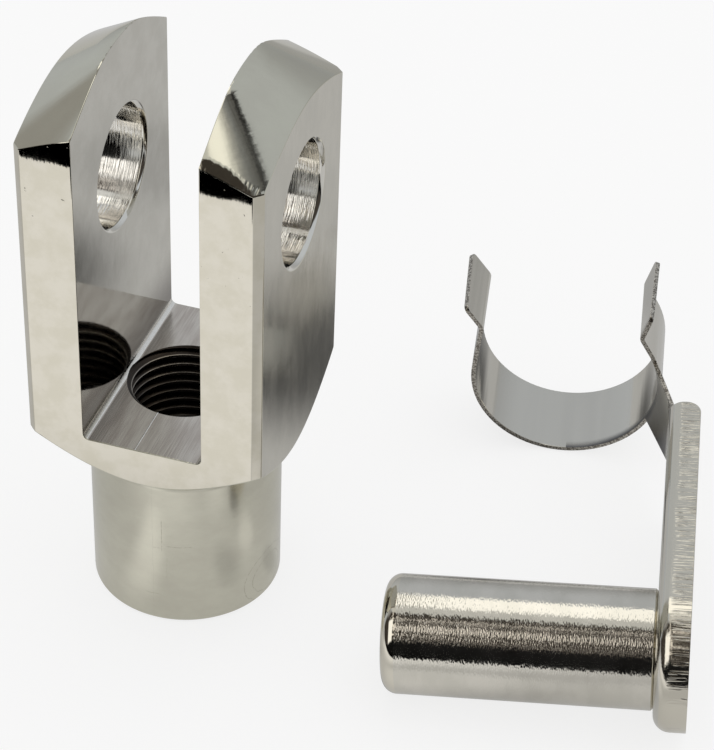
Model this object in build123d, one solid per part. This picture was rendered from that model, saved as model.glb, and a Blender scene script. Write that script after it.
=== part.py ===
from build123d import *
import os
from math import cos, radians, sin, sqrt, tan

# Rod clevis for a 16 mm fine-thread rod end, with its spring clip pin lying beside it.
# Lengths are millimetres and angles are degrees.
# The origin is the centre of the threaded mouth at the neck's end, Z runs up the rod axis,
# and X is the axis of the cross bore.

# Fork, cut from square bar
BAR_WIDTH = 32.0
CORNER_RELIEF = 0.78          # how far the turning tool takes each corner of the bar in
BORE_HEIGHT = 64.0            # from the neck's end to the axis of the cross bore
BORE_TO_TOP = 19.0            # from the axis of the cross bore to the top of the prongs
SLOT_WIDTH = 16.2
SLOT_REACH = 32.0             # from the axis of the cross bore down to the slot's floor
SLOT_ROOT_RADIUS = 0.8
CROSS_BORE = 16.0
BORE_CHAMFER = 0.5
NECK_DIAMETER = 26.0
NECK_LENGTH = 24.0
NECK_END_CHAMFER = 0.6
NECK_ROOT_RADIUS = 1.5
SHOULDER_ANGLE = 39.5         # slope of the turned cone between the neck and the bar
TOP_ANGLE = 32.5              # slope of the turned cone over the prongs
TOP_DEPTH = 8.4               # from the top down to where that cone meets the corners
TOP_RADIUS = 8.0

# Thread through the neck
THREAD_DIAMETER = 16.0
THREAD_PITCH = 1.5
COUNTERSINK_ANGLE = 120.0
ROD_MOUTH_DEPTH = 0.48        # countersink at the neck's end
SLOT_MOUTH_DEPTH = 0.36       # countersink at the slot's floor

# Clevis pin
PIN_CLEARANCE = 0.04          # between the pin and the cross bore, on the radius
PIN_LENGTH = 35.6             # from the free end to the shoulder
PIN_END_RADIUS = 2.0
SHOULDER_CHAMFER = 0.3
TENON_DIAMETER = 10.0
TENON_CLEARANCE = 0.05
HEAD_DIAMETER = 14.0
HEAD_HEIGHT = 1.8
HEAD_CHAMFER = 0.6

# Spring clip, folded from one sheet
SHEET = 0.65
ARM_WIDTH = 21.2
ARM_REACH = 36.5              # from the pin's axis to the end of the arm's rim
RIM_HEIGHT = 4.4
RIM_BEND_RADIUS = 2.2         # outer radius of the bend between the web and the rim
RIM_END_RADIUS = 2.0
BAND_GAP = 14.3               # from the end of the rim to the near edge of the band
BAND_WIDTH = 12.2
BAND_CLEARANCE = 0.3          # between the band and the fork's neck, on the radius
BAND_PRELOAD = 0.7            # how far the band's axis springs in from the neck's axis
LIP_BEND_RADIUS = 1.4
LIP_CORNER_RADIUS = 0.9
ARM_SIDE_TANGENT_ANGLE = 25.5 # side under the arm: where the band's arc runs out straight,
ARM_SIDE_HEIGHT = 8.9         # how high above the band's axis its lip begins,
ARM_SIDE_LEAN_ANGLE = 19.0    # how far the lip leans outwards,
ARM_SIDE_LIP = 4.2            # its length at the edge nearest the arm,
ARM_SIDE_SLANT = 1.2          # and how much longer it is at its far edge
FREE_SIDE_TANGENT_ANGLE = 9.5 # the same for the free side
FREE_SIDE_HEIGHT = 9.7
FREE_SIDE_LEAN_ANGLE = 32.0
FREE_SIDE_LIP = 4.35
FREE_SIDE_SLANT = 0.65
SHOULDER_LENGTH = 5.5         # beyond the rim, where the web narrows to its neck
NECK_LOW_ANGLE = 29.0         # the stretch of the band's edge that the neck joins,
NECK_HIGH_ANGLE = 20.0        # below and above the arm's middle

# Where the loose clip pin lies on the surface that the fork stands on
LAY_X = 67.85
LAY_Y = -6.75
LAY_ANGLE = 9.8
SETTLING_ROUNDS = 8

fork_length = BORE_HEIGHT + BORE_TO_TOP
slot_floor = BORE_HEIGHT - SLOT_REACH
half_bar = BAR_WIDTH / 2
corner_radius = half_bar * sqrt(2) - CORNER_RELIEF
neck_radius = NECK_DIAMETER / 2
thread_minor_radius = THREAD_DIAMETER / 2 - THREAD_PITCH * sqrt(3) / 2 * 5 / 8
pin_radius = CROSS_BORE / 2 - PIN_CLEARANCE
half_arm = ARM_WIDTH / 2
band_inner = neck_radius + BAND_CLEARANCE
band_outer = band_inner + SHEET
band_axis = BAND_PRELOAD - half_bar
band_near = ARM_REACH + BAND_GAP
band_far = band_near + BAND_WIDTH
neck_start = ARM_REACH + SHOULDER_LENGTH


def turned_bar():
    """The bar as the lathe leaves it, from the neck's end to the top."""
    cone_foot = NECK_LENGTH + (corner_radius - neck_radius) * tan(radians(SHOULDER_ANGLE))
    top_land = corner_radius - TOP_DEPTH / tan(radians(TOP_ANGLE))
    outline = Polyline(
        (0, 0),
        (neck_radius - NECK_END_CHAMFER, 0),
        (neck_radius, NECK_END_CHAMFER),
        (neck_radius, NECK_LENGTH),
        (corner_radius, cone_foot),
        (corner_radius, fork_length - TOP_DEPTH),
        (top_land, fork_length),
        (0, fork_length),
        close=True,
    )
    face = make_face(outline)
    for radius, corner in (
        (NECK_ROOT_RADIUS, (neck_radius, NECK_LENGTH)),
        (TOP_RADIUS, (top_land, fork_length)),
    ):
        spot = face.vertices().sort_by_distance((*corner, 0))[0]
        face = fillet(spot, radius)
    return revolve(Plane.XZ * face, Axis.Z)


def tapped_hole():
    """The hole through the neck at the thread's minor diameter, countersunk at both mouths."""
    flare = tan(radians(COUNTERSINK_ANGLE / 2))
    rod_mouth = thread_minor_radius + ROD_MOUTH_DEPTH * flare
    slot_mouth = thread_minor_radius + SLOT_MOUTH_DEPTH * flare
    outline = Polyline(
        (0, -1),
        (rod_mouth, -1),
        (rod_mouth, 0),
        (thread_minor_radius, ROD_MOUTH_DEPTH),
        (thread_minor_radius, slot_floor - SLOT_MOUTH_DEPTH),
        (slot_mouth, slot_floor),
        (slot_mouth, slot_floor + SLOT_ROOT_RADIUS),
        (0, slot_floor + SLOT_ROOT_RADIUS),
        close=True,
    )
    return revolve(Plane.XZ * make_face(outline), Axis.Z)


def fork():
    """Fork: turned bar, milled slot, cross bore through both prongs and tapped neck."""
    square = Box(BAR_WIDTH, BAR_WIDTH, fork_length, align=(Align.CENTER, Align.CENTER, Align.MIN))
    body = turned_bar() & square
    slot_height = fork_length - slot_floor + SLOT_ROOT_RADIUS
    slot_face = Pos(0, slot_floor + slot_height / 2) * Rectangle(SLOT_WIDTH, slot_height)
    slot_face = fillet(slot_face.vertices().group_by(Axis.Y)[0], SLOT_ROOT_RADIUS)
    body -= extrude(Plane.XZ * slot_face, BAR_WIDTH, both=True)
    bore_axis = Pos(0, 0, BORE_HEIGHT) * Rot(0, 90, 0)
    body -= bore_axis * Cylinder(CROSS_BORE / 2, BAR_WIDTH * 2)
    mouths = body.edges().filter_by(GeomType.CIRCLE).filter_by(
        lambda edge: abs(edge.radius - CROSS_BORE / 2) < 1e-3 and edge.is_closed
    )
    body = chamfer(mouths, BORE_CHAMFER)
    return body - tapped_hole()


def clevis_pin():
    """Pin along X: rounded free end, shoulder at X = 0, riveted tenon and head beyond the web."""
    tenon_radius = TENON_DIAMETER / 2
    head_radius = HEAD_DIAMETER / 2
    head_top = SHEET + HEAD_HEIGHT
    outline = Polyline(
        (-PIN_LENGTH, 0),
        (-PIN_LENGTH, pin_radius),
        (-SHOULDER_CHAMFER, pin_radius),
        (0, pin_radius - SHOULDER_CHAMFER),
        (0, tenon_radius),
        (SHEET, tenon_radius),
        (SHEET, head_radius),
        (head_top - HEAD_CHAMFER, head_radius),
        (head_top, head_radius - HEAD_CHAMFER),
        (head_top, 0),
        close=True,
    )
    face = make_face(outline)
    free_end = face.vertices().sort_by_distance((-PIN_LENGTH, pin_radius, 0))[0]
    return revolve(fillet(free_end, PIN_END_RADIUS), Axis.X)


def arm_outline(half_width, reach):
    """Outline of the arm seen along the pin: round about the pin, straight towards the band."""
    straight = Pos(reach / 2, 0) * Rectangle(reach, half_width * 2)
    return Plane.YZ * (Circle(half_width) + straight)


def arm_dish(half_width, reach, height, bend):
    """Block with the arm's outline, its web side rounded as the sheet bends there."""
    block = extrude(arm_outline(half_width, reach), height)
    web_edges = block.edges().group_by(Axis.X)[0]
    far_edge = web_edges.sort_by(Axis.Y)[-1]
    return fillet([edge for edge in web_edges if edge != far_edge], bend)


def arm():
    """Arm: flat web with a rim drawn up around the pin and along both sides."""
    outside = arm_dish(half_arm, ARM_REACH, RIM_HEIGHT, RIM_BEND_RADIUS)
    rim_ends = outside.edges().filter_by(Axis.Z).group_by(Axis.Y)[-1].group_by(Axis.X)[-1]
    outside = fillet(rim_ends, RIM_END_RADIUS)
    inside = arm_dish(half_arm - SHEET, ARM_REACH + SHEET, RIM_HEIGHT, RIM_BEND_RADIUS - SHEET)
    hole = Rot(0, 90, 0) * Cylinder(TENON_DIAMETER / 2 + TENON_CLEARANCE, SHEET * 4)
    return outside - Pos(SHEET, 0, 0) * inside - hole


def lip_way(side, flare):
    """Direction in which a lip runs; side is 1 under the arm and -1 on the free side."""
    return Vector(side * sin(radians(flare)), cos(radians(flare)))


def throat(side, angle, height):
    """Where a straight side of the band ends and its lip begins."""
    start_height = band_inner * sin(radians(angle))
    across = band_inner * cos(radians(angle)) - (height - start_height) * tan(radians(angle))
    return Vector(side * across, height)


def side_line(side, angle, height, flare, length, slant):
    """Inner line of one side of the band, from the end of the arc to the tip of the lip."""
    start = Vector(side * cos(radians(angle)), sin(radians(angle))) * band_inner
    bend = throat(side, angle, height)
    tip = bend + lip_way(side, flare) * (length + slant)
    return FilletPolyline(start, bend, tip, radius=LIP_BEND_RADIUS)


def lip_end(side, angle, height, flare, length, slant):
    """Plane that cuts off the end of a lip on a slant."""
    way = lip_way(side, flare)
    near_tip = throat(side, angle, height) + way * length
    return Plane(origin=near_tip, z_dir=way * BAND_WIDTH + Vector(0, 0, slant))


def band():
    """Band that snaps round the fork's neck, with a lip turned outwards on each side."""
    sides = (
        (1, ARM_SIDE_TANGENT_ANGLE, ARM_SIDE_HEIGHT, ARM_SIDE_LEAN_ANGLE,
         ARM_SIDE_LIP, ARM_SIDE_SLANT),
        (-1, FREE_SIDE_TANGENT_ANGLE, FREE_SIDE_HEIGHT, FREE_SIDE_LEAN_ANGLE,
         FREE_SIDE_LIP, FREE_SIDE_SLANT),
    )
    under_arm, free = (side_line(*side) for side in sides)
    bottom = ThreePointArc(free @ 0, (0, -band_inner), under_arm @ 0)
    inner_line = Wire([*free.edges(), bottom.edge(), *under_arm.edges()])
    section = make_face(offset(inner_line, SHEET, side=Side.LEFT).edges())
    strip = extrude(section, -BAND_WIDTH)
    for side in sides:
        strip = split(strip, lip_end(*side), keep=Keep.BOTTOM)
    lip_corners = strip.edges().sort_by(lambda edge: abs(edge.length - SHEET))[:4]
    strip = fillet(lip_corners, LIP_CORNER_RADIUS)
    return Plane.XZ.offset(-band_near) * Pos(band_axis, 0) * strip


def shoulder():
    """Flat end of the web beyond the rim, narrowing to the neck."""
    wide = half_arm - RIM_BEND_RADIUS
    low, high = neck_edges()
    outline = Polyline(
        (ARM_REACH, -wide), (ARM_REACH, wide), (neck_start, high), (neck_start, low), close=True
    )
    return extrude(Plane.YZ * make_face(outline), SHEET)


def neck_edges():
    """Heights of the neck's lower and upper edges, where it meets the band."""
    return (
        -band_outer * sin(radians(NECK_LOW_ANGLE)),
        band_outer * sin(radians(NECK_HIGH_ANGLE)),
    )


def neck():
    """Sheet between the web and the band, flat at one end and round at the other."""
    low, high = neck_edges()
    middle = Pos(SHEET / 2, (low + high) / 2)
    flat = Plane.XZ.offset(-neck_start) * middle * Rectangle(SHEET, high - low)
    sweep = NECK_LOW_ANGLE + NECK_HIGH_ANGLE
    inner = CenterArc((0, 0), band_inner, -NECK_LOW_ANGLE, sweep)
    outer = CenterArc((0, 0), band_outer, -NECK_LOW_ANGLE, sweep)
    sides = Line(inner @ 0, outer @ 0), Line(inner @ 1, outer @ 1)
    curved = Plane.XZ.offset(-band_near) * Pos(band_axis, 0) * make_face([inner, outer, *sides])
    return loft([flat.face(), curved.face()], ruled=True)


def spring_clip():
    """Spring clip: arm, neck and band as one folded sheet."""
    return arm() + shoulder() + neck() + band()


def lowest_point(centre, axis, ring, ball, down):
    """Lowest point of a round edge: a ring about an axis, with an edge radius on it."""
    across = down - axis * down.dot(axis)
    return centre + across.normalized() * ring + down * ball


def resting_plane():
    """The surface under the loose clip pin, in the clip pin's own frame.

    It touches the pin's free end, the rim round the pin and the near edge of the band.
    """
    touching = (
        (Vector(PIN_END_RADIUS - PIN_LENGTH, 0, 0), Vector(1, 0, 0), pin_radius - PIN_END_RADIUS,
         PIN_END_RADIUS),
        (Vector(RIM_BEND_RADIUS, 0, 0), Vector(1, 0, 0), half_arm - RIM_BEND_RADIUS,
         RIM_BEND_RADIUS),
        (Vector(band_axis, band_near, 0), Vector(0, 1, 0), band_outer, 0),
    )
    down = Vector(0, 0, -1)
    for _ in range(SETTLING_ROUNDS):
        pin_end, rim, band_edge = (lowest_point(*place, down) for place in touching)
        down = (band_edge - pin_end).cross(rim - pin_end).normalized()
    up = down * -1
    foot = down * pin_end.dot(down)
    along = Vector(1, 0, 0)
    return Plane(origin=foot, x_dir=along - up * along.dot(up), z_dir=up)


def laid_down(shape):
    """A piece of the clip pin, moved to where the clip pin lies beside the fork."""
    place = Location((LAY_X, LAY_Y, 0), (0, 0, LAY_ANGLE))
    return place * resting_plane().location.inverse() * shape


os.makedirs("parts", exist_ok=True)
export_step(fork(), "parts/fork.step")
export_step(laid_down(clevis_pin()), "parts/clevis_pin.step")
export_step(laid_down(spring_clip()), "parts/spring_clip.step")
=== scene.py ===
from math import cos, hypot, pi, radians, sin, sqrt, tan

import bmesh
import bpy
from mathutils import Matrix, Vector


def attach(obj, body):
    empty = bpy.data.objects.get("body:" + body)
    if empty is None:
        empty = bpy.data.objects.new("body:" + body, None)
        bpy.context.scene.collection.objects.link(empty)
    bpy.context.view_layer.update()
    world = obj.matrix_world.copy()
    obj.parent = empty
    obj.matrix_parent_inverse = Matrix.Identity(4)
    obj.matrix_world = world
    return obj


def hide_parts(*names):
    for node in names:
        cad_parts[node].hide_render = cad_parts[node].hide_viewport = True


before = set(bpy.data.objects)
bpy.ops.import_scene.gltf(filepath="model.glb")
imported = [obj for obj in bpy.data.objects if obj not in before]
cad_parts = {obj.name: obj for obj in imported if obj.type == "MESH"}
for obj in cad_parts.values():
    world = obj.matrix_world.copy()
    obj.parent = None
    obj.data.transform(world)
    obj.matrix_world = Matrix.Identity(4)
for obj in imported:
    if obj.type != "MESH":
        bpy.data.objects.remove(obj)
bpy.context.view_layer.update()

# Lengths in this script are millimetres, and MM turns them into Blender's metres
MM = 0.001

# Fork, as the frame has it
FORK_LENGTH = 83.0
HALF_BAR = 16.0
CORNER_RELIEF = 0.78
NECK_RADIUS = 13.0
NECK_LENGTH = 24.0
NECK_END_CHAMFER = 0.6
NECK_ROOT_RADIUS = 1.5
SHOULDER_ANGLE = radians(39.5)
TOP_ANGLE = radians(32.5)
TOP_DEPTH = 8.4
TOP_RADIUS = 8.0
TURNED_STEPS = 192
HALF_SLOT = 8.1
SLOT_FLOOR = 32.0
SLOT_ROOT_RADIUS = 0.8
BORE_HEIGHT = 64.0
BORE_RADIUS = 8.0
BORE_CHAMFER = 0.5
BORE_LOBES = 10
THREAD_MAJOR = 8.0
THREAD_MINOR = 7.188
THREAD_PITCH = 1.5
THREAD_SIDES = 96
THREAD_SUNK = 0.002
COUNTERSINK_SLOPE = tan(radians(60))
ROD_MOUTH = 0.48
SLOT_MOUTH = 0.36

# Thread's profile in shares of one pitch: where its crest, its first flank and its root end
CREST_END = 0.25
FLANK_END = 0.5625
ROOT_END = 0.6875
PROFILE_STEPS = (0.0, 0.125, CREST_END, 0.354, 0.458, FLANK_END, 0.625, ROOT_END, 0.79, 0.895)

# Line that the cutter left on the slot's floor
RIDGE_X = -1.0
RIDGE_START = -15.9
RIDGE_END = -7.7
RIDGE_WIDTH = 0.30
RIDGE_HEIGHT = 0.03
RIDGE_SUNK = 0.02

# Dressed border of the right prong's cone
DRESSED_WIDTH = 1.5
DRESSED_DEPTH = 0.26
DRESSED_WANDER = 2.0
DRESSED_COMB = 0.25

# Where a finish changes: painted shade up the foot of the slot's wall, polish above the neck, and
# painted shade outside the thread's crests and down into the thread
WALL_FOOT_SHADE = (1.0, 10.0)
POLISH_RISE = 12.0
ROOT_SHADE_BAND = (0.02, 0.14)
THREAD_SHADE = (7.0, 0.5)

# Scratches on the neck: direction, place across it, from, to, width and strength (0 to 1)
NECK_SCRATCHES = (
    ("upright", -19.15, 13.1, 17.9, 0.03, 0.65),
    ("upright", -18.5, 8.0, 12.0, 0.02, 0.35),
    ("level", 13.75, -18.2, -15.2, 0.03, 0.6),
    ("level", 13.3, -20.3, -18.9, 0.03, 0.4),
    ("level", 4.9, -22.0, -19.6, 0.03, 0.5),
)
LOOP_TURN = -2.4
LOOP_HEIGHT = 3.9
LOOP_HALF_WIDTH = 5.0
LOOP_HALF_HEIGHT = 4.1
LOOP_SIZES = (0.7, 1.0)
LOOP_HALF_LINE = 0.010
LOOP_FADE = 0.012
LOOP_STRENGTH = 0.30
SCRATCH_WOBBLE = 0.4
SCRATCH_FADE = 0.4
SCRATCH_DEPTH = 0.01
SCRATCH_TOP = (22.0, 23.0)

# Clip pin's own frame: X runs along the pin to its head, Y along the arm, Z out of the band's mouth
CLIP_ORIGIN = Vector((67.85, -6.75, 10.4154))
CLIP_X = Vector((0.982738, 0.169748, 0.073558))
CLIP_Y = Vector((-0.176091, 0.980195, 0.090603))
CLIP_Z = CLIP_X.cross(CLIP_Y)
PIN_RADIUS = 7.96
PIN_END = -35.6
PIN_END_RADIUS = 2.0
SHOULDER_CHAMFER = 0.3
TENON_RADIUS = 5.0
HEAD_RADIUS = 7.0
HEAD_HEIGHT = 1.8
HEAD_CHAMFER = 0.6
SHEET = 0.65
RIM_START = 0.66
HATCH_START = 2.1
HATCH_FADE = 0.8
RIM_END = 37.5
CLIP_NECK_START = 43.5
CLIP_NECK_FADE = 1.5
CLIP_NECK_SHADE = (-8.0, 6.0)
BAND_NEAR = 50.8
LIP_START = 11.0

# Softened edges, and the angle from which an edge is sharp
FORK_EDGE = 0.14
PIN_EDGE = 0.05
SHEET_EDGE = 0.08
SHARP_ANGLE = radians(28)

# Cleaning of meshes: edges too short to soften, points that are one, and facets that lie flat
SHORT_EDGE = 0.15
CUT_JOIN = 0.004
CUT_FLAT = radians(0.05)
COPY_JOIN = 0.0001
COPY_FLAT = radians(0.3)

# How far a cutting solid goes past what it cuts
CUT_PAST = 1.0
SLOT_PAST = 5.0

# How far beside a surface the middle of one of its faces may lie
NEAR = 0.05
MOUTH_NEAR = 0.06
RIDGE_NEAR = 0.01

# Share of a face's normal that lies along an axis. The wall's limit takes in the strip next to it
# of each softened edge, and the arm's limits tell its cut edges from its flat sides
STRAIGHT = 0.98
MOSTLY = 0.95
WALL_LIMIT = 0.9
MOUTH_LIMIT = 0.15
ALONG_SLOT = 0.1
HARDLY = 0.05
PIN_END_LIMIT = 0.3
CUT_SIDE_LIMIT = 0.85
CUT_EDGE_LIMIT = 0.7

# Camera, fitted to the photograph
CAMERA_AZIMUTH = radians(16.219)
CAMERA_ELEVATION = radians(37.578)
CAMERA_ROLL = radians(2.312)
CAMERA_PLACE = Vector((94.875, -244.485, 235.116))
CAMERA_NEAR = 10.0
CAMERA_FAR = 20000.0
LENS = 119.03
SENSOR = 36.0

# Studio: white paper, which metal sees painted black beyond its front edge, a softbox above and
# grey walls
PAPER_FRONT = -120.2
PAPER_SIZE = 3000.0
PAPER_DROP = 0.02
PAPER_WHITE = 0.96
PAPER_LIGHT = 0.61
FAR_START = 290.0
FAR_END = 450.0
FAR_LIGHT = 0.74
CAMERA_WHITE = 0.78
METAL_WHITE = 0.55
SOFTBOX_CENTRE = (20.0, 260.0, 900.0)
SOFTBOX_WIDTH = 900.0
SOFTBOX_LENGTH = 740.0
SOFTBOX_LIGHT = 1.15
ROOM_LIGHT = 0.762
BACKDROP = (0.945, 0.945, 0.945)
WALL_GREY = (0.54, 0.565, 0.60)
WALL_LOW = (0.38, 0.39, 0.40)
FRONT_DARK = (0.050, 0.043, 0.037)
FRONT_CLUTTER = (1.08, 1.01, 0.93)
FRONT_BLACK = (0.006, 0.006, 0.006)

# Smallest level part of a direction, so that nothing is divided by 0 straight overhead
STRAIGHT_UP = 0.0001

# Where the room changes, in degrees from overhead to the rear
BLACK_TO_DARK = (-64, -59)
DARK_TO_WALL = (-12, -2)
WALL_TO_LOW = (50, 90)

# Width of the clutter in the dark front, in degrees to the right of overhead, and its softness
CLUTTER_SIDES = (-40, 2)
CLUTTER_FADE = 6

# Painted pools of light and painted shadows that metal sees on the paper: (x, y), (half width,
# half length), share of them where the spot starts to fade, and its light against the paper's own
PAINTED_PAPER_LIGHT = (
    ((-12, -95), (105, 75), 0.5, 1.70),
    ((33, 52), (20, 29), 0.3, 0.21),
    ((26, 95), (20, 20), 0.3, 0.80),
    ((60, 23), (14, 12), 0.3, 0.80),
    ((8, -14), (42, 34), 0.4, 1.17),
    ((-7, -25), (9, 15), 0.2, 1.33),
    ((19, -13), (6, 8), 0.2, 0.80),
    ((17, 3), (4, 4), 0.3, 0.82),
    ((27, -5), (6, 6), 0.3, 1.25),
    ((34, -13), (4.5, 5), 0.3, 0.45),
    ((42, -28), (22, 14), 0.3, 1.36),
    ((74, -20), (22, 24), 0.3, 1.18),
)

# What metal sees above, in degrees: (left, right), (near, far), softness at the left, at the right
# and of the other two edges, and colour
ROOM_PATCHES = (
    ((-58, -52), (-6, 24), (12, 12, 12), (0.36, 0.355, 0.35)),
    ((-34, 20), (-8, 8), (3, 3, 3), (0.68, 0.68, 0.66)),
    ((-41, 4), (7, 30), (3, 4, 3), (1.42, 1.40, 1.34)),
    ((4, 18), (7, 22), (4, 4, 3), (0.66, 0.655, 0.64)),
    ((12, 17), (-1, 7), (3, 4, 4), (1.20, 1.18, 1.12)),
    ((25.2, 25.6), (-6, 19), (9, 0.7, 6), (0.12, 0.12, 0.12)),
    ((25.1, 25.6), (-6, 19), (0.6, 0.6, 6), (0.02, 0.02, 0.02)),
    ((-50, -22), (-62, -26), (5, 5, 5), (1.35, 1.32, 1.28)),
)

NICKEL = (0.70, 0.665, 0.575)

# Range that most of a noise's values lie in
NOISE_LOW = 0.35
NOISE_HIGH = 0.65

X_AXIS = Vector((1, 0, 0))
Y_AXIS = Vector((0, 1, 0))
Z_AXIS = Vector((0, 0, 1))
ORIGIN = Vector((0, 0, 0))


# Mesh building

def clean_copy(node):
    """Editable copy of a CAD node, with its facets joined again where they are flat."""
    bm = bmesh.new()
    bm.from_mesh(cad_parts[node].data)
    bmesh.ops.remove_doubles(bm, verts=bm.verts, dist=COPY_JOIN * MM)
    bmesh.ops.dissolve_limit(bm, angle_limit=COPY_FLAT, verts=bm.verts, edges=bm.edges)
    return bm


def rounded(corners, steps=8):
    """Outline through the corners. A corner with a third number gets an arc of that radius."""
    points = [Vector(corner[:2]) for corner in corners]
    outline = []
    for i, (corner, here) in enumerate(zip(corners, points)):
        if len(corner) == 2:
            outline.append(here)
            continue
        radius = corner[2]
        before = (points[i - 1] - here).normalized()
        after = (points[(i + 1) % len(points)] - here).normalized()
        half = before.angle(after) / 2
        centre = here + (before + after).normalized() * radius / sin(half)
        start = here + before * radius / tan(half) - centre
        turn = start.angle_signed(here + after * radius / tan(half) - centre)
        for step in range(steps + 1):
            angle = -turn * step / steps
            x = start.x * cos(angle) - start.y * sin(angle)
            y = start.x * sin(angle) + start.y * cos(angle)
            outline.append(centre + Vector((x, y)))
    return outline


def lathe(profile, along, across, up, origin=ORIGIN):
    """Closed solid of revolution: the profile gives (radius, place along the axis)."""
    bm = bmesh.new()
    rings = []
    for radius, place in profile:
        centre = origin + along * place
        if not radius:
            rings.append([bm.verts.new(centre * MM)])
            continue
        ring = []
        for i in range(TURNED_STEPS):
            angle = 2 * pi * i / TURNED_STEPS
            out = across * cos(angle) + up * sin(angle)
            ring.append(bm.verts.new((centre + out * radius) * MM))
        rings.append(ring)
    for low, high in zip(rings, rings[1:]):
        for i in range(TURNED_STEPS):
            j = (i + 1) % TURNED_STEPS
            corners = [low[i % len(low)], low[j % len(low)]]
            corners += [high[j % len(high)], high[i % len(high)]]
            bm.faces.new(list(dict.fromkeys(corners)))
    bmesh.ops.recalc_face_normals(bm, faces=bm.faces)
    return bm


def prism(outline, low, high):
    """Closed solid from an outline in XZ, between two places along Y."""
    bm = bmesh.new()
    near = [bm.verts.new(Vector((p.x, low, p.y)) * MM) for p in outline]
    far = [bm.verts.new(Vector((p.x, high, p.y)) * MM) for p in outline]
    bm.faces.new(near)
    bm.faces.new(far)
    for i in range(len(outline)):
        j = (i + 1) % len(outline)
        bm.faces.new((near[i], near[j], far[j], far[i]))
    bmesh.ops.recalc_face_normals(bm, faces=bm.faces)
    return bm


def linked_object(bm, name):
    """Object in the scene with the mesh that was built."""
    mesh = bpy.data.meshes.new(name)
    bm.to_mesh(mesh)
    bm.free()
    obj = bpy.data.objects.new(name, mesh)
    bpy.context.scene.collection.objects.link(obj)
    return obj


def combined(base, steps):
    """The base solid after each step: an operation and the solid that it uses."""
    body = linked_object(base, "body")
    tools = []
    for operation, solid in steps:
        tools.append(linked_object(solid, "tool"))
        modifier = body.modifiers.new(operation, "BOOLEAN")
        modifier.operation = operation
        modifier.solver = "EXACT"
        modifier.object = tools[-1]
    depsgraph = bpy.context.evaluated_depsgraph_get()
    bm = bmesh.new()
    bm.from_object(body, depsgraph)
    for obj in [body] + tools:
        mesh = obj.data
        bpy.data.objects.remove(obj)
        bpy.data.meshes.remove(mesh)
    bmesh.ops.remove_doubles(bm, verts=bm.verts, dist=CUT_JOIN * MM)
    bmesh.ops.dissolve_limit(bm, angle_limit=CUT_FLAT, verts=bm.verts, edges=bm.edges)
    bmesh.ops.dissolve_degenerate(bm, dist=SHORT_EDGE * MM, edges=bm.edges)
    return bm


def soften(bm, width):
    """Rounds the sharp edges, as plating and tumbling leave them."""
    sharp = [
        edge for edge in bm.edges
        if len(edge.link_faces) == 2 and edge.calc_face_angle() > SHARP_ANGLE
    ]
    bmesh.ops.bevel(
        bm, geom=sharp, offset=width * MM, offset_type="OFFSET", segments=2, profile=0.5,
        affect="EDGES", clamp_overlap=False,
    )


def to_object(bm, name, finishes, choose):
    """Makes the object, gives each face its material and shades it smooth between sharp edges."""
    numbers = {finish: number for number, finish in enumerate(finishes)}
    for face in bm.faces:
        face.smooth = True
        face.material_index = numbers[choose(face.calc_center_median() / MM, face.normal)]
    obj = linked_object(bm, name)
    for material in finishes.values():
        obj.data.materials.append(material)
    obj.data.set_sharp_from_angle(angle=SHARP_ANGLE)
    weighted = obj.modifiers.new("weighted", "WEIGHTED_NORMAL")
    weighted.keep_sharp = True
    return obj


def turned_bar():
    """Bar turned to its neck, shoulder and top, before it is milled square."""
    corner_radius = HALF_BAR * sqrt(2) - CORNER_RELIEF
    cone_foot = NECK_LENGTH + (corner_radius - NECK_RADIUS) * tan(SHOULDER_ANGLE)
    top_land = corner_radius - TOP_DEPTH / tan(TOP_ANGLE)
    profile = rounded((
        (0, 0), (NECK_RADIUS - NECK_END_CHAMFER, 0), (NECK_RADIUS, NECK_END_CHAMFER),
        (NECK_RADIUS, NECK_LENGTH, NECK_ROOT_RADIUS), (corner_radius, cone_foot),
        (corner_radius, FORK_LENGTH - TOP_DEPTH), (top_land, FORK_LENGTH, TOP_RADIUS),
        (0, FORK_LENGTH),
    ))
    return lathe(profile, Z_AXIS, X_AXIS, Y_AXIS)


def square_bar():
    """The bar's square section, higher and lower than the fork."""
    low, high = -CUT_PAST, FORK_LENGTH + SLOT_PAST
    square = rounded(((-HALF_BAR, low), (HALF_BAR, low), (HALF_BAR, high), (-HALF_BAR, high)))
    return prism(square, -HALF_BAR, HALF_BAR)


def slot_cut():
    """The slot, with its two rounded roots."""
    top = FORK_LENGTH + SLOT_PAST
    slot = rounded((
        (-HALF_SLOT, top), (-HALF_SLOT, SLOT_FLOOR, SLOT_ROOT_RADIUS),
        (HALF_SLOT, SLOT_FLOOR, SLOT_ROOT_RADIUS), (HALF_SLOT, top),
    ), steps=5)
    return prism(slot, -HALF_BAR - SLOT_PAST, HALF_BAR + SLOT_PAST)


def bore_cut():
    """Both cross bores with a chamfer at each of their four mouths."""
    wide = BORE_CHAMFER * 2
    half = [
        (0, -HALF_BAR - CUT_PAST), (BORE_RADIUS + BORE_CHAMFER + CUT_PAST, -HALF_BAR - CUT_PAST),
        (BORE_RADIUS, -HALF_BAR + BORE_CHAMFER), (BORE_RADIUS, -HALF_SLOT - BORE_CHAMFER),
        (BORE_RADIUS + wide, -HALF_SLOT - BORE_CHAMFER + wide),
    ]
    profile = half + [(radius, -place) for radius, place in reversed(half)]
    return lathe(profile, X_AXIS, Y_AXIS, Z_AXIS, Vector((0, 0, BORE_HEIGHT)))


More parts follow.
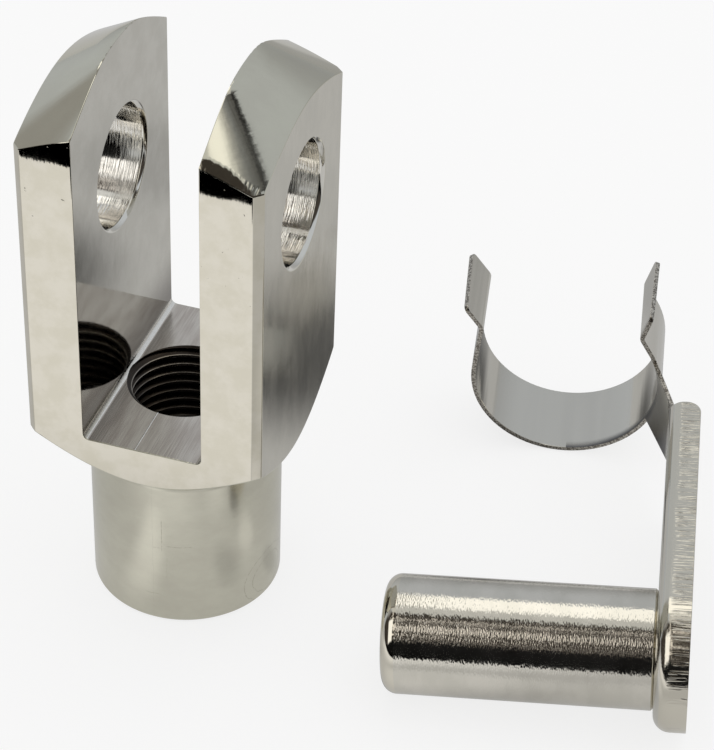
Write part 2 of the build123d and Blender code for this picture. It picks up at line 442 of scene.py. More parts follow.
def hole_cut():
    """Tapped hole at the thread's minor diameter, with a countersink at each mouth."""
    low_mouth = THREAD_MINOR + ROD_MOUTH * COUNTERSINK_SLOPE
    top_mouth = THREAD_MINOR + SLOT_MOUTH * COUNTERSINK_SLOPE
    profile = (
        (0, -CUT_PAST), (low_mouth, -CUT_PAST), (low_mouth, 0), (THREAD_MINOR, ROD_MOUTH),
        (THREAD_MINOR, SLOT_FLOOR - SLOT_MOUTH), (top_mouth, SLOT_FLOOR),
        (top_mouth, SLOT_FLOOR + CUT_PAST), (0, SLOT_FLOOR + CUT_PAST),
    )
    return lathe(profile, Z_AXIS, X_AXIS, Y_AXIS)


def fork_solid():
    """Turned bar with its slot, cross bores and tapped hole, in finer facets than the frame's."""
    return combined(turned_bar(), (
        ("INTERSECT", square_bar()), ("DIFFERENCE", slot_cut()),
        ("DIFFERENCE", bore_cut()), ("DIFFERENCE", hole_cut()),
    ))


def in_tapped_hole(centre, normal):
    """Whether a face of the fork belongs to the tapped hole or its countersinks."""
    inside = hypot(centre.x, centre.y) < THREAD_MAJOR + NEAR
    return inside and -2 * NEAR < centre.z < SLOT_FLOOR + 2 * NEAR and abs(normal.z) < MOSTLY


def thread_radius(share):
    """Radius of the inside thread at a share of one pitch: crest, flank, root and flank."""
    depth = THREAD_MAJOR - THREAD_MINOR
    if share < CREST_END:
        return THREAD_MINOR
    if share < FLANK_END:
        return THREAD_MINOR + depth * (share - CREST_END) / (FLANK_END - CREST_END)
    if share < ROOT_END:
        return THREAD_MAJOR
    return THREAD_MAJOR - depth * (share - ROOT_END) / (1 - ROOT_END)


def add_thread(bm):
    """Right-hand thread through the neck, cut back by the countersink at each mouth."""
    turns = int(SLOT_FLOOR / THREAD_PITCH) + 3
    points = {}

    def point(i, k):
        if i == THREAD_SIDES:
            i, k = 0, k + len(PROFILE_STEPS)
        if (i, k) not in points:
            turn, step = divmod(k, len(PROFILE_STEPS))
            z = (turn - 1 + PROFILE_STEPS[step] + i / THREAD_SIDES) * THREAD_PITCH
            z = min(max(z, THREAD_SUNK), SLOT_FLOOR - THREAD_SUNK)
            share = (z / THREAD_PITCH - i / THREAD_SIDES) % 1.0
            low_mouth = THREAD_MINOR + (ROD_MOUTH - z) * COUNTERSINK_SLOPE
            top_mouth = THREAD_MINOR + (SLOT_MOUTH - SLOT_FLOOR + z) * COUNTERSINK_SLOPE
            radius = max(thread_radius(share), low_mouth, top_mouth)
            angle = 2 * pi * i / THREAD_SIDES
            place = Vector((radius * cos(angle), radius * sin(angle), z))
            points[i, k] = bm.verts.new(place * MM)
        return points[i, k]

    for k in range(turns * len(PROFILE_STEPS)):
        for i in range(THREAD_SIDES):
            corners = (point(i, k), point(i, k + 1), point(i + 1, k + 1), point(i + 1, k))
            heights = [corner.co.z for corner in corners]
            if max(heights) > min(heights):
                bm.faces.new(corners)
    bmesh.ops.remove_doubles(bm, verts=list(points.values()), dist=COPY_JOIN * MM)


def add_ridge(bm):
    """Thin raised line that the slot's two cutter passes left on its floor."""
    low = SLOT_FLOOR - RIDGE_SUNK
    half = RIDGE_WIDTH / 2
    base = []
    for y in (RIDGE_START, RIDGE_END):
        for x, z in ((-half, low), (0, SLOT_FLOOR + RIDGE_HEIGHT), (half, low)):
            base.append(bm.verts.new(Vector((RIDGE_X + x, y, z)) * MM))
    bm.faces.new((base[0], base[1], base[4], base[3]))
    bm.faces.new((base[1], base[2], base[5], base[4]))
    bm.faces.new((base[0], base[2], base[1]))
    bm.faces.new((base[3], base[4], base[5]))


# Material building

class Nodes:
    """Nodes of a material or world, with short helpers. Values are sockets or plain numbers."""

    def __init__(self, owner):
        owner.use_nodes = True
        self.tree = owner.node_tree

    def node(self, kind, **settings):
        node = self.tree.nodes.new(kind)
        for key, value in settings.items():
            setattr(node, key, value)
        return node

    def feed(self, socket, value):
        if isinstance(value, bpy.types.NodeSocket):
            self.tree.links.new(value, socket)
        else:
            socket.default_value = value

    def math(self, operation, a, b=0.0):
        node = self.node("ShaderNodeMath", operation=operation)
        self.feed(node.inputs[0], a)
        self.feed(node.inputs[1], b)
        return node.outputs[0]

    def add(self, a, b):
        return self.math("ADD", a, b)

    def times(self, a, b):
        return self.math("MULTIPLY", a, b)

    def vector(self, operation, a, b=(0, 0, 0), output=0):
        node = self.node("ShaderNodeVectorMath", operation=operation)
        self.feed(node.inputs[0], a)
        self.feed(node.inputs[1], b)
        return node.outputs[output]

    def combine(self, x, y, z):
        node = self.node("ShaderNodeCombineXYZ")
        for socket, value in zip(node.inputs, (x, y, z)):
            self.feed(socket, value)
        return node.outputs[0]

    def separate(self, value):
        node = self.node("ShaderNodeSeparateXYZ")
        self.feed(node.inputs[0], value)
        return tuple(node.outputs)

    def length(self, x, y):
        return self.vector("LENGTH", self.combine(x, y, 0.0), output=1)

    def place(self):
        """Place on the object in mm, in the frame."""
        coordinates = self.node("ShaderNodeTexCoord").outputs["Object"]
        return self.vector("MULTIPLY", coordinates, (1 / MM, 1 / MM, 1 / MM))

    def stretched(self, place, x, y, z):
        """Place for marks that are this fine along each axis."""
        return self.vector("MULTIPLY", place, (x, y, z))

    def around(self, a, b, along, turns, fine):
        """Place for marks that run round an axis: a and b lie across it, along runs on it."""
        x, y, _ = self.separate(self.vector("NORMALIZE", self.combine(a, b, 0.0)))
        return self.combine(self.times(x, turns), self.times(y, turns), self.times(along, fine))

    def noise(self, place, detail=2.0, roughness=0.5):
        """Soft lumps from 0 to 1, about one in each unit of place."""
        node = self.node("ShaderNodeTexNoise")
        self.feed(node.inputs["Vector"], place)
        node.inputs["Scale"].default_value = 1.0
        node.inputs["Detail"].default_value = detail
        node.inputs["Roughness"].default_value = roughness
        return node.outputs[0]

    def spread(self, value, low, high, to_low=0.0, to_high=1.0):
        """Maps low to high smoothly onto to_low to to_high, and stops at both ends."""
        node = self.node("ShaderNodeMapRange")
        node.interpolation_type = "SMOOTHSTEP"
        limits = (("From Min", low), ("From Max", high), ("To Min", to_low), ("To Max", to_high))
        for name, number in limits:
            self.feed(node.inputs[name], number)
        self.feed(node.inputs["Value"], value)
        return node.outputs["Result"]

    def centred(self, place, detail=2.0):
        """Noise from -0.5 to 0.5."""
        return self.add(self.noise(place, detail), -0.5)

    def mottled(self, noise, low=0.0, high=1.0):
        """Number from low to high that follows a noise."""
        return self.spread(noise, NOISE_LOW, NOISE_HIGH, low, high)

    def window(self, value, low, high, soft):
        """1 between low and high, falling to 0 outside over the soft width."""
        rise = self.spread(value, low - soft, low)
        fall = self.spread(value, high, high + soft, 1.0, 0.0)
        return self.times(rise, fall)

    def blend(self, factor, a, b):
        """Number between a and b."""
        node = self.node("ShaderNodeMix", data_type="FLOAT")
        for socket, value in ((node.inputs[0], factor), (node.inputs[2], a), (node.inputs[3], b)):
            self.feed(socket, value)
        return node.outputs[0]

    def color(self, factor, a, b):
        """Colour between a and b, each a socket or three numbers."""
        node = self.node("ShaderNodeMix", data_type="RGBA")
        self.feed(node.inputs[0], factor)
        sockets = [socket for socket in node.inputs if socket.type == "RGBA"]
        for socket, value in zip(sockets, (a, b)):
            self.feed(socket, (*value, 1) if isinstance(value, tuple) else value)
        return [socket for socket in node.outputs if socket.type == "RGBA"][0]

    def seen(self):
        """Whether a ray comes from metal, and whether from the camera, metal or through glass."""
        path = self.node("ShaderNodeLightPath")
        glossy = path.outputs["Is Glossy Ray"]
        total = self.add(path.outputs["Is Camera Ray"], glossy)
        return glossy, self.add(total, path.outputs["Is Transmission Ray"])


class Look(Nodes):
    """One metal finish."""

    def __init__(self, name, color=NICKEL, roughness=0.1):
        self.material = bpy.data.materials.new(name)
        super().__init__(self.material)
        self.shader = self.tree.nodes["Principled BSDF"]
        self.shader.inputs["Metallic"].default_value = 1.0
        self.shader.inputs["Base Color"].default_value = (*color, 1)
        self.shader.inputs["Roughness"].default_value = roughness
        self.normal = None

    def clip_place(self):
        """Place in mm in the clip pin's own frame."""
        away = self.vector("SUBTRACT", self.place(), tuple(CLIP_ORIGIN))
        axes = (CLIP_X, CLIP_Y, CLIP_Z)
        return self.combine(*[self.vector("DOT_PRODUCT", away, tuple(axis), 1) for axis in axes])

    def bump(self, height, depth):
        """Adds marks of a depth in mm."""
        node = self.node("ShaderNodeBump")
        node.inputs["Distance"].default_value = depth * MM
        self.feed(node.inputs["Height"], height)
        if self.normal:
            self.feed(node.inputs["Normal"], self.normal)
        self.normal = node.outputs["Normal"]
        self.feed(self.shader.inputs["Normal"], self.normal)

    def roughness(self, value):
        self.feed(self.shader.inputs["Roughness"], value)

    def base(self, factor, dark, light):
        self.feed(self.shader.inputs["Base Color"], self.color(factor, dark, light))

    def patchy(self, noise, roughness, dark, light):
        """Roughness and colour that both follow a noise."""
        self.roughness(self.mottled(noise, *roughness))
        self.base(self.mottled(noise), dark, light)


def bar_finish():
    """Front and back of the drawn bar: bright flat faces with a few small dents."""
    look = Look("fork_bar_faces")
    place = look.place()
    brush = look.noise(look.stretched(place, 4, 4, 0.6), detail=1)
    waves = look.noise(look.stretched(place, 0.45, 0.45, 0.25), detail=1)
    cloud = look.noise(look.stretched(place, 0.3, 0.3, 0.3), detail=4, roughness=0.6)
    pits = look.noise(look.stretched(place, 1.1, 1.1, 1.1), detail=2)
    look.bump(waves, 0.002)
    look.bump(look.spread(pits, 0.72, 0.78, 1.0, 0.0), 0.006)
    look.bump(brush, 0.0012)
    look.patchy(cloud, (0.015, 0.022), (0.690, 0.652, 0.548), (0.745, 0.706, 0.612))
    return look.material


def bar_side_finish():
    """Sides of the drawn bar, brushed along it, with painted shade: a little darker than the faces.
    """
    look = Look("fork_bar_sides")
    place = look.place()
    brush = look.noise(look.stretched(place, 4, 4, 0.15), detail=2, roughness=0.6)
    waves = look.noise(look.stretched(place, 0.4, 0.4, 0.12), detail=2)
    cloud = look.noise(look.stretched(place, 0.3, 0.3, 0.15), detail=4, roughness=0.6)
    look.bump(waves, 0.006)
    look.bump(brush, 0.012)
    # Painted shade: base colour a little darker than the bar's faces
    look.patchy(cloud, (0.12, 0.17), (0.63, 0.605, 0.53), (0.69, 0.66, 0.58))
    return look.material


def slot_wall_finish():
    """Milled and plated wall of the slot, close to a mirror, with painted shade darkening its foot.
    """
    look = Look("fork_slot_walls")
    place = look.place()
    mill = look.noise(look.stretched(place, 5, 4, 0.8), detail=3, roughness=0.6)
    waves = look.noise(look.stretched(place, 0.3, 0.35, 0.2), detail=2)
    cloud = look.noise(look.stretched(place, 0.25, 0.25, 0.25), detail=4, roughness=0.6)
    look.bump(waves, 0.008)
    look.bump(mill, 0.0012)
    look.roughness(look.mottled(cloud, 0.05, 0.10))
    unshaded_wall = look.color(look.mottled(cloud), (0.64, 0.62, 0.56), (0.70, 0.68, 0.62))
    # Painted shade: the wall's colour darkens towards its foot, next to the slot's floor
    height = look.separate(place)[2]
    clear = look.spread(height, SLOT_FLOOR + WALL_FOOT_SHADE[0], SLOT_FLOOR + WALL_FOOT_SHADE[1])
    look.base(clear, (0.26, 0.24, 0.215), unshaded_wall)
    return look.material


def slot_floor_finish():
    """Floor of the slot, with the cutter's marks along it."""
    look = Look("fork_slot_floor")
    place = look.place()
    mill = look.noise(look.stretched(place, 9, 0.10, 1), detail=2, roughness=0.65)
    broad = look.noise(look.stretched(place, 0.8, 0.12, 1), detail=3)
    look.bump(broad, 0.006)
    look.bump(mill, 0.006)
    look.roughness(look.spread(mill, 0.3, 0.7, 0.14, 0.24))
    grime = look.add(look.times(mill, 0.45), look.times(broad, 0.55))
    look.base(look.spread(grime, 0.36, 0.62), (0.51, 0.455, 0.405), (0.71, 0.665, 0.60))
    return look.material


def painted_highlight_finish():
    """The slot's roots and the ridge, whose brighter base colour paints the highlight along them.
    """
    # Painted highlight: base colour brighter than the plating
    look = Look("fork_painted_highlight", color=(0.93, 0.91, 0.86))
    place = look.place()
    marks = look.noise(look.stretched(place, 2.5, 2.5, 2.5), detail=3)
    look.bump(marks, 0.012)
    look.roughness(look.mottled(marks, 0.16, 0.30))
    return look.material


def mouth_finish():
    """Chamfers at the mouths of the cross bores, cut bright."""
    look = Look("fork_bore_mouths", color=(0.86, 0.84, 0.78), roughness=0.07)
    x, y, z = look.separate(look.place())
    marks = look.noise(look.around(y, look.add(z, -BORE_HEIGHT), x, 3, 3), detail=2)
    look.bump(marks, 0.006)
    return look.material


def hairline(look, value, cross, at, low, high, width):
    """Scratch at one place of value, between low and high of cross, fading at both ends."""
    thin = look.window(value, at - width / 2, at + width / 2, width)
    return look.times(thin, look.window(cross, low, high, SCRATCH_FADE))


def neck_scratches(look, x, y, z):
    """Hairline scratches and a faint loop on the neck, 1 on a scratch and 0 beside it."""
    wobble = look.times(look.centred(look.combine(x, y, z)), SCRATCH_WOBBLE)
    turn = look.add(look.times(look.math("ARCTAN2", y, x), NECK_RADIUS), wobble)
    height = look.add(z, wobble)
    scratches = 0.0
    for direction, at, low, high, width, strength in NECK_SCRATCHES:
        value, cross = (turn, height) if direction == "upright" else (height, turn)
        line = look.times(hairline(look, value, cross, at, low, high, width), strength)
        scratches = look.math("MAXIMUM", scratches, line)
    loop = look.length(
        look.times(look.add(turn, -LOOP_TURN), 1 / LOOP_HALF_WIDTH),
        look.times(look.add(height, -LOOP_HEIGHT), 1 / LOOP_HALF_HEIGHT),
    )
    for size in LOOP_SIZES:
        ring = look.window(loop, size - LOOP_HALF_LINE, size + LOOP_HALF_LINE, LOOP_FADE)
        scratches = look.math("MAXIMUM", scratches, look.times(ring, LOOP_STRENGTH))
    broken = look.noise(look.stretched(look.combine(x, y, z), 3, 3, 3), detail=3)
    scratches = look.times(scratches, look.spread(broken, 0.40, 0.54, 0.1, 1.0))
    return look.times(scratches, look.spread(z, *SCRATCH_TOP, 1.0, 0.0))


def dressed_border(look, place, x, y):
    """1 on the right prong's cone, falling to 0 where it was dressed along the bar's face."""
    wander = look.centred(look.stretched(place, 0.2, 0.2, 0.2), detail=0)
    comb = look.centred(look.stretched(place, 3, 0.3, 1), detail=0)
    ragged = look.add(look.times(wander, DRESSED_WANDER), look.times(comb, DRESSED_COMB))
    start, end = -HALF_BAR - DRESSED_WIDTH / 2, -HALF_BAR + DRESSED_WIDTH
    dressed = look.spread(look.add(y, ragged), start, end)
    return look.times(dressed, look.math("GREATER_THAN", x, 0.0))


def turned_finish():
    """Turned neck, shoulder and top, with fine marks round the fork's axis."""
    look = Look("fork_turned")
    place = look.place()
    x, y, z = look.separate(place)
    along = look.add(z, look.length(x, y))
    marks = look.noise(look.around(x, y, along, 1.0, 5), detail=4, roughness=0.65)
    chatter = look.noise(look.around(x, y, along, 7, 0.9), detail=2)
    cloud = look.noise(look.around(x, y, along, 2.2, 0.30), detail=4, roughness=0.6)
    look.bump(cloud, 0.02)
    look.bump(marks, 0.002)
    look.bump(chatter, 0.003)
    look.bump(dressed_border(look, place, x, y), DRESSED_DEPTH)
    scratches = neck_scratches(look, x, y, z)
    look.bump(scratches, -SCRATCH_DEPTH)
    satin = look.mottled(cloud, 0.10, 0.16)
    mirror = look.mottled(cloud, 0.04, 0.08)
    polish = look.spread(z, NECK_LENGTH, NECK_LENGTH + POLISH_RISE)
    look.roughness(look.blend(polish, satin, mirror))
    plated = look.color(look.spread(cloud, 0.3, 0.7), (0.665, 0.64, 0.54), (0.71, 0.69, 0.58))
    look.base(look.times(scratches, 0.8), plated, (0.16, 0.14, 0.11))
    return look.material


def bore_finish():
    """Reamed cross bores: fine rings round them and uneven lobes along them."""
    look = Look("fork_bores", color=(0.88, 0.86, 0.81))
    x, y, z = look.separate(look.place())
    height = look.add(z, -BORE_HEIGHT)
    rings = look.noise(look.around(y, height, x, 1.5, 5), detail=2, roughness=0.6)
    uneven = look.noise(look.around(y, height, x, 1.2, 0.05), detail=1)
    turn = look.times(look.math("ARCTAN2", y, height), BORE_LOBES)
    shift = look.add(look.times(rings, 0.8), look.times(uneven, 4))
    look.bump(look.math("SINE", look.add(turn, shift)), 0.040)
    look.bump(rings, 0.045)
    look.roughness(look.spread(rings, 0.3, 0.7, 0.07, 0.13))
    return look.material


def thread_finish():
    """Cut thread, duller than the plating outside. Its colour is painted shade: dark in the roots,
    lighter on the crests, darker further down into the hole.
    """
    look = Look("fork_thread")
    x, y, z = look.separate(look.place())
    marks = look.noise(look.around(x, y, z, 3, 5), detail=3)
    look.bump(marks, 0.004)
    look.roughness(look.spread(marks, 0.3, 0.7, 0.20, 0.34))
    # Painted shade: dark colour outside the crests, and darker still down into the hole
    low, high = (THREAD_MINOR + depth for depth in ROOT_SHADE_BAND)
    crest = look.spread(look.length(x, y), low, high, 1.0, 0.0)
    lit = look.spread(z, SLOT_FLOOR - THREAD_SHADE[0], SLOT_FLOOR - THREAD_SHADE[1], 0.15, 1.0)
    look.base(look.times(crest, lit), (0.040, 0.033, 0.028), (0.40, 0.365, 0.32))
    return look.material


def pin_finish():
    """Ground pin: a grain of short marks round it."""
    look = Look("pin_ground")
    x, y, z = look.separate(look.clip_place())
    grain = look.noise(look.around(y, z, x, 16, 7), detail=0)
    cloud = look.noise(look.around(y, z, x, 1.2, 0.3), detail=3)
    look.bump(grain, 0.028)
    look.patchy(cloud, (0.09, 0.13), (0.66, 0.635, 0.565), (0.72, 0.69, 0.62))
    return look.material


def pin_end_finish():
    """Polished end and rounding of the pin."""
    look = Look("pin_end", roughness=0.06)
    x, y, z = look.separate(look.clip_place())
    along = look.add(x, look.length(y, z))
    rings = look.noise(look.around(y, z, along, 1.0, 4), detail=2)
    look.bump(rings, 0.003)
    return look.material


def sheet_finish():
    """Spring sheet: satin, with faint bands across the way that it was bent, and painted shade
    inside its neck.
    """
    look = Look("clip_sheet")
    place = look.clip_place()
    bands = look.noise(look.stretched(place, 0.20, 0.01, 0.20), detail=3)
    lines = look.noise(look.stretched(place, 4, 0.15, 4), detail=3, roughness=0.6)
    look.bump(bands, 0.09)
    look.bump(lines, 0.001)
    # Inside, the neck is duller, and painted shade darkens its colour, most away from the band's
    # mouth
    _, y, z = look.separate(place)
    normal = look.node("ShaderNodeNewGeometry").outputs["Normal"]
    facing = look.vector("DOT_PRODUCT", normal, tuple(CLIP_X), 1)
    inside = look.math("LESS_THAN", facing, 0.0)
    neck = look.times(look.window(y, CLIP_NECK_START, BAND_NEAR, CLIP_NECK_FADE), inside)
    satin = look.mottled(bands, 0.09, 0.14)
    look.roughness(look.blend(neck, satin, 0.35))
    plated = look.color(look.mottled(bands), (0.64, 0.62, 0.565), (0.68, 0.66, 0.60))
    shade = look.times(neck, look.spread(z, *CLIP_NECK_SHADE, 1.0, 0.4))
    look.base(shade, plated, (0.12, 0.12, 0.125))
    return look.material


def cut_finish():
    """Blanked edge of the spring sheet: speckled."""
    look = Look("clip_cut_edges")
    speckle = look.noise(look.stretched(look.clip_place(), 3.5, 3.5, 3.5), detail=3, roughness=0.6)
    look.bump(speckle, 0.05)
    look.roughness(look.mottled(speckle, 0.16, 0.32))
    look.base(look.spread(speckle, 0.40, 0.60), (0.20, 0.18, 0.155), (0.60, 0.57, 0.51))
    return look.material


def rim_finish():
    """Bent rim of the arm, hatched across by short marks that the bending tool left."""
    look = Look("clip_rim")
    place = look.clip_place()
    x = look.separate(place)[0]
    hatch = look.noise(look.stretched(place, 0.12, 4.4, 0.12), detail=2, roughness=0.6)
    patch = look.noise(look.stretched(place, 0.5, 0.25, 0.5), detail=2)
    outer = look.spread(look.add(x, patch), HATCH_START, HATCH_START + HATCH_FADE)
    strength = look.times(outer, look.spread(patch, 0.35, 0.60, 0.35, 1.0))
    look.bump(look.times(look.spread(hatch, 0.50, 0.66), strength), 0.050)
    fine = look.noise(look.stretched(place, 5, 5, 5), detail=3)
    look.bump(fine, 0.004)
    look.roughness(look.mottled(fine, 0.08, 0.15))
    return look.material


# Pieces

def fork_face(centre, normal):
    """Name of the finish that a face of the fork has."""
    if in_tapped_hole(centre, normal):
        return "thread"
    x, z = abs(centre.x), centre.z
    on_ridge = (
        abs(centre.x - RIDGE_X) < RIDGE_WIDTH
        and RIDGE_START - RIDGE_NEAR < centre.y < RIDGE_END + RIDGE_NEAR
        and SLOT_FLOOR < z < SLOT_FLOOR + RIDGE_HEIGHT
    )
    if on_ridge:
        return "painted_highlight"
    mouth_radius = BORE_RADIUS + BORE_CHAMFER + MOUTH_NEAR
    if hypot(centre.y, z - BORE_HEIGHT) < mouth_radius and abs(normal.x) < MOSTLY:
        return "mouth" if abs(normal.x) > MOUTH_LIMIT else "bore"
    in_slot = x < HALF_SLOT + NEAR and z > SLOT_FLOOR - NEAR
    if in_slot and z < SLOT_FLOOR + SLOT_ROOT_RADIUS and abs(normal.y) < ALONG_SLOT:
        return "floor" if normal.z > STRAIGHT else "painted_highlight"
    if in_slot and abs(normal.x) > WALL_LIMIT:
        return "wall"
    if z > NECK_LENGTH + NECK_ROOT_RADIUS and abs(normal.z) < HARDLY:
        return "side" if abs(normal.x) > STRAIGHT else "bar"
    return "turned"


def make_fork():
    """The fork: the solid with softened edges, its thread and the cutter's line."""
    bm = fork_solid()
    hole = [
        face for face in bm.faces
        if in_tapped_hole(face.calc_center_median() / MM, face.normal)
    ]
    bmesh.ops.delete(bm, geom=hole, context="FACES")
    soften(bm, FORK_EDGE)
    add_thread(bm)
    add_ridge(bm)
    finishes = {
        "bar": bar_finish(), "side": bar_side_finish(), "wall": slot_wall_finish(),
        "floor": slot_floor_finish(), "painted_highlight": painted_highlight_finish(), "turned": turned_finish(),
        "bore": bore_finish(), "mouth": mouth_finish(), "thread": thread_finish(),
    }
    fork = to_object(bm, "fork_plated", finishes, fork_face)
    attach(fork, "root")
    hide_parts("fork")


def in_clip(point):
    """Place in the clip pin's own frame."""
    away = point - CLIP_ORIGIN
    return Vector((away.dot(CLIP_X), away.dot(CLIP_Y), away.dot(CLIP_Z)))


def pin_face(centre, normal):
    """Name of the finish that a face of the pin has."""
    place = in_clip(centre)
    on_end = place.x < PIN_END + PIN_END_RADIUS - 2 * NEAR
    return "end" if on_end or abs(normal.dot(CLIP_X)) > PIN_END_LIMIT else "ground"


def make_pin():
    """The pin, with its shoulder, its tenon through the clip and its riveted head."""
    head_top = SHEET + HEAD_HEIGHT
    profile = rounded((
        (0, PIN_END), (PIN_RADIUS, PIN_END, PIN_END_RADIUS), (PIN_RADIUS, -SHOULDER_CHAMFER),
        (PIN_RADIUS - SHOULDER_CHAMFER, 0), (TENON_RADIUS, 0), (TENON_RADIUS, SHEET),
        (HEAD_RADIUS, SHEET), (HEAD_RADIUS, head_top - HEAD_CHAMFER),
        (HEAD_RADIUS - HEAD_CHAMFER, head_top), (0, head_top),
    ), steps=12)
    bm = lathe(profile, CLIP_X, CLIP_Y, CLIP_Z, CLIP_ORIGIN)
    soften(bm, PIN_EDGE)
    finishes = {"ground": pin_finish(), "end": pin_end_finish()}
    pin = to_object(bm, "pin_plated", finishes, pin_face)
    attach(pin, "root")
    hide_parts("clevis_pin")


def clip_face(centre, normal):
    """Name of the finish that a face of the clip has."""
    place = in_clip(centre)
    if place.x > RIM_START and place.y < RIM_END:
        return "rim"
    on_side = abs(normal.dot(CLIP_Y)) > CUT_SIDE_LIMIT
    on_edge = abs(normal.dot(CLIP_X)) < CUT_EDGE_LIMIT
    if place.y > BAND_NEAR - 1 and (on_side or on_edge and place.z > LIP_START):
        return "cut"
    if RIM_END < place.y < BAND_NEAR and on_edge:
        return "cut"
    return "sheet"


def make_clip():
    """The clip: the frame's own mesh with softened edges."""
    bm = clean_copy("spring_clip")
    soften(bm, SHEET_EDGE)
    finishes = {"sheet": sheet_finish(), "cut": cut_finish(), "rim": rim_finish()}
    clip = to_object(bm, "clip_plated", finishes, clip_face)
    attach(clip, "root")
    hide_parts("spring_clip")


# Studio

def add_plane(name, centre, width, length, material):
    """Level rectangle of the studio, which isn't part of the product."""
    bm = bmesh.new()
    half_x, half_y = width / 2 * MM, length / 2 * MM
    signs = ((-1, -1), (1, -1), (1, 1), (-1, 1))
    bm.faces.new([bm.verts.new((x * half_x, y * half_y, 0)) for x, y in signs])
    plane = linked_object(bm, name)
    plane.location = Vector(centre) * MM
    plane.data.materials.append(material)
    return plane


def paper_material():
    """White paper. Metal sees painted light and shade on it: soft spots, dimmer far off, black in
    front.
    """
    material = bpy.data.materials.new("studio_paper")
    nodes = Nodes(material)
    nodes.tree.nodes.clear()
    glossy, seen = nodes.seen()
    x, y, _ = nodes.separate(nodes.place())
    # Painted shade: metal sees the paper dimmer far off
    tone = nodes.spread(nodes.add(x, y), FAR_START, FAR_END, PAPER_LIGHT, PAPER_LIGHT * FAR_LIGHT)
    # Painted pools of light and painted shadows, which only metal sees
    for (spot_x, spot_y), (half_width, half_length), fade, light in PAINTED_PAPER_LIGHT:
        away = nodes.length(
            nodes.times(nodes.add(x, -spot_x), 1 / half_width),
            nodes.times(nodes.add(y, -spot_y), 1 / half_length),
        )
        tone = nodes.times(tone, nodes.spread(away, fade, 1.0, light, 1.0))
    # Metal sees the paper painted black beyond its front edge
    tone = nodes.times(tone, nodes.math("GREATER_THAN", y, PAPER_FRONT))
    tone = nodes.blend(glossy, 1.0, tone)
    paper = nodes.node("ShaderNodeBsdfDiffuse")
    nodes.feed(paper.inputs["Color"], nodes.times(tone, PAPER_WHITE))
    glow = nodes.node("ShaderNodeEmission")
    nodes.feed(glow.inputs["Color"], tone)
    share = nodes.blend(glossy, CAMERA_WHITE, METAL_WHITE)
    mix = nodes.node("ShaderNodeMixShader")
    nodes.feed(mix.inputs[0], nodes.times(seen, share))
    nodes.feed(mix.inputs[1], paper.outputs[0])
    nodes.feed(mix.inputs[2], glow.outputs[0])
    output = nodes.node("ShaderNodeOutputMaterial")
    nodes.feed(output.inputs["Surface"], mix.outputs[0])
    material.cycles.emission_sampling = "NONE"
    return material


def glow_material(name, strength):
    """Evenly lit cloth."""
    material = bpy.data.materials.new(name)
    nodes = Nodes(material)
    nodes.tree.nodes.clear()
    glow = nodes.node("ShaderNodeEmission")
    nodes.feed(glow.inputs["Strength"], strength)
    output = nodes.node("ShaderNodeOutputMaterial")
    nodes.feed(output.inputs["Surface"], glow.outputs[0])
    return material


def room_clutter(nodes, right, rear):
    """Light things in the dark front of the room: 1 on them and 0 between them."""
    place = nodes.combine(nodes.times(right, 0.05), nodes.times(rear, 0.16), 0.0)
    lumps = nodes.spread(nodes.noise(place, detail=3), 0.51, 0.57)
    return nodes.times(lumps, nodes.window(right, *CLUTTER_SIDES, CLUTTER_FADE))


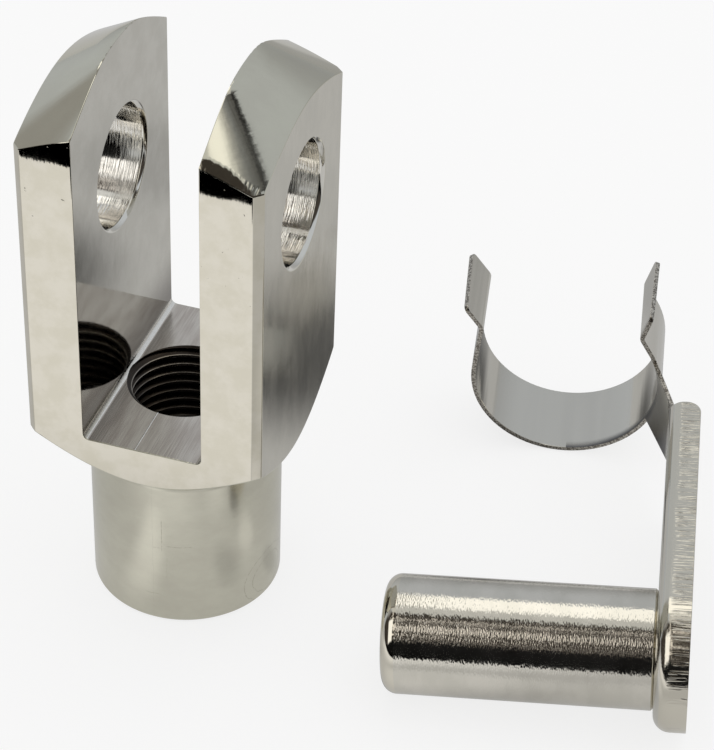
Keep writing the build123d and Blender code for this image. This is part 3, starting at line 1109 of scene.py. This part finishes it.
def add_world():
    """Nearly white backdrop. Metal sees a room: grey walls, a dark front and soft lights."""
    world = bpy.data.worlds.new("studio")
    bpy.context.scene.world = world
    nodes = Nodes(world)
    nodes.tree.nodes.clear()
    glossy, seen = nodes.seen()
    x, y, z = nodes.separate(nodes.node("ShaderNodeTexCoord").outputs["Generated"])
    # Degrees from straight overhead, to the right and to the rear
    tilt = nodes.times(nodes.math("ARCCOSINE", z), 180 / pi)
    flat = nodes.math("MAXIMUM", nodes.length(x, y), STRAIGHT_UP)
    right = nodes.times(tilt, nodes.math("DIVIDE", x, flat))
    rear = nodes.times(tilt, nodes.math("DIVIDE", y, flat))
    front = nodes.color(room_clutter(nodes, right, rear), FRONT_DARK, FRONT_CLUTTER)
    front = nodes.color(nodes.spread(rear, *BLACK_TO_DARK, 1.0, 0.0), front, FRONT_BLACK)
    wall = nodes.color(nodes.spread(rear, *WALL_TO_LOW), WALL_GREY, WALL_LOW)
    room = nodes.color(nodes.spread(rear, *DARK_TO_WALL), front, wall)
    for (left_edge, right_edge), (near_edge, far_edge), soft, color in ROOM_PATCHES:
        across = nodes.times(
            nodes.spread(right, left_edge - soft[0], left_edge),
            nodes.spread(right, right_edge, right_edge + soft[1], 1.0, 0.0),
        )
        inside = nodes.times(across, nodes.window(rear, near_edge, far_edge, soft[2]))
        room = nodes.color(inside, room, color)
    background = nodes.node("ShaderNodeBackground")
    nodes.feed(background.inputs["Color"], nodes.color(glossy, BACKDROP, room))
    nodes.feed(background.inputs["Strength"], nodes.blend(seen, ROOM_LIGHT, 1.0))
    output = nodes.node("ShaderNodeOutputWorld")
    nodes.feed(output.inputs["Surface"], background.outputs[0])


def add_studio():
    """Paper just under the product, a softbox that only lights, and the room."""
    add_plane("floor", (0, 0, -PAPER_DROP), PAPER_SIZE, PAPER_SIZE, paper_material())
    cloth = glow_material("softbox_cloth", SOFTBOX_LIGHT)
    softbox = add_plane("softbox", SOFTBOX_CENTRE, SOFTBOX_WIDTH, SOFTBOX_LENGTH, cloth)
    softbox.visible_camera = False
    softbox.visible_glossy = False
    add_world()


def add_camera():
    """Camera at the photograph's viewing angle."""
    az, el, roll = CAMERA_AZIMUTH, CAMERA_ELEVATION, CAMERA_ROLL
    back = Vector((sin(az) * cos(el), -cos(az) * cos(el), sin(el)))
    level_right = Vector((cos(az), sin(az), 0))
    level_up = back.cross(level_right)
    right = level_right * cos(roll) + level_up * sin(roll)
    up = level_up * cos(roll) - level_right * sin(roll)
    data = bpy.data.cameras.new("camera")
    data.lens = LENS
    data.sensor_width = SENSOR
    data.clip_start = CAMERA_NEAR * MM
    data.clip_end = CAMERA_FAR * MM
    camera = bpy.data.objects.new("camera", data)
    turn = Matrix((right, up, back)).transposed().to_4x4()
    camera.matrix_world = Matrix.Translation(CAMERA_PLACE * MM) @ turn
    bpy.context.scene.collection.objects.link(camera)
    bpy.context.scene.camera = camera


make_fork()
make_pin()
make_clip()
add_studio()
add_camera()
bpy.context.scene.view_settings.view_transform = "Standard"
